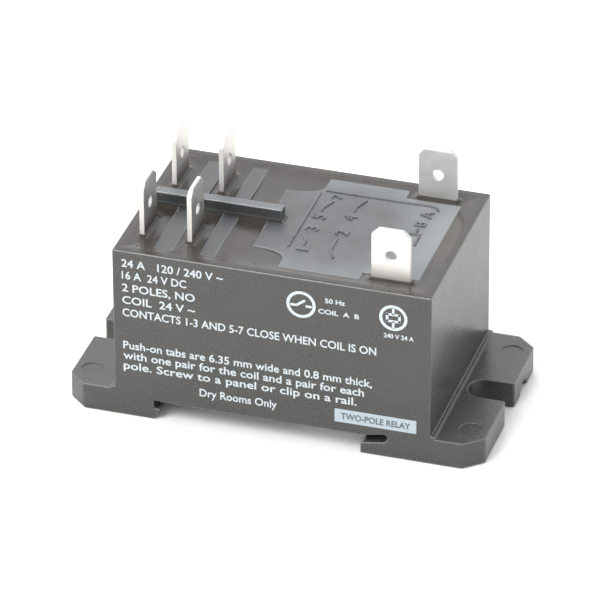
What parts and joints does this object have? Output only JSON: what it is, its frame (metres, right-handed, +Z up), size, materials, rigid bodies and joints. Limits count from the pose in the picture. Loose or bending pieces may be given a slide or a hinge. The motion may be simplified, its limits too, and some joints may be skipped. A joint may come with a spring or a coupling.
{
  "type": "power relay",
  "caption": "Power relay with push-on tabs, a flanged foot at each end, a rail channel underneath, and a rocking armature inside",
  "frame": {"origin": "centre of the underside, on the plane that the feet stand on", "axes": "+X along the length towards the coil tabs, +Y towards the rear side, +Z up through the tab face"},
  "size_m": [0.069, 0.034, 0.0396],
  "materials": {
    "housing_plastic": "warm dark grey moulded plastic, finely textured",
    "header_plastic": "blue-grey moulded plastic",
    "epoxy": "dark brown poured epoxy, glossy",
    "tinned_brass": "bright tin plate on brass",
    "contact_silver": "silver alloy",
    "blade_copper": "rolled copper alloy",
    "winding_copper": "enamelled copper wire",
    "magnet_iron": "plated soft iron",
    "spring_steel": "bright spring steel",
    "bobbin_nylon": "natural nylon",
    "coil_tape": "yellow polyester tape",
    "carrier_plastic": "red insulating plastic",
    "lead_sleeve": "pale insulating sleeve"
  },
  "bodies": {
    "root": {"housing": "housing_plastic", "header": "header_plastic", "epoxy_seal": "epoxy", "common_terminal_front": "tinned_brass", "common_terminal_rear": "tinned_brass", "normally_open_terminal_front": "tinned_brass", "normally_open_terminal_rear": "tinned_brass", "coil_terminal_front": "tinned_brass", "coil_terminal_rear": "tinned_brass", "fixed_contact_front": "contact_silver", "fixed_contact_rear": "contact_silver", "yoke": "magnet_iron", "core": "magnet_iron", "shading_ring": "blade_copper", "bobbin": "bobbin_nylon", "coil_winding": "winding_copper", "coil_tape": "coil_tape", "coil_lead_front": "lead_sleeve", "coil_lead_rear": "lead_sleeve", "braid_front": "blade_copper", "braid_rear": "blade_copper", "return_spring": "spring_steel", "rail_spring_rivet": "spring_steel"},
    "armature": {"armature": "magnet_iron", "contact_carrier": "carrier_plastic", "carrier_rivet_front": "spring_steel", "carrier_rivet_rear": "spring_steel", "contact_blade_front": "blade_copper", "contact_blade_rear": "blade_copper", "blade_rivet_front": "spring_steel", "blade_rivet_rear": "spring_steel", "moving_contact_front": "contact_silver", "moving_contact_rear": "contact_silver"},
    "rail_spring": {"rail_spring": "spring_steel"}
  },
  "joints": [
    {"name": "armature_hinge", "type": "hinge", "parent": "root", "child": "armature", "pos_m": [-0.0065, 0, 0.0099], "axis": [0, -1, 0], "range_deg": [0, 6], "stiffness_Nm_per_rad": 0.01, "springref_deg": -8.59, "deforming": ["return_spring", "braid_front", "braid_rear"]},
    {"name": "rail_spring_flex", "type": "hinge", "parent": "root", "child": "rail_spring", "pos_m": [0.005, 0, 0.00367], "axis": [0, -1, 0], "range_deg": [0, 5.7], "stiffness_Nm_per_rad": 0.02, "springref_deg": -5.73}
  ]
}
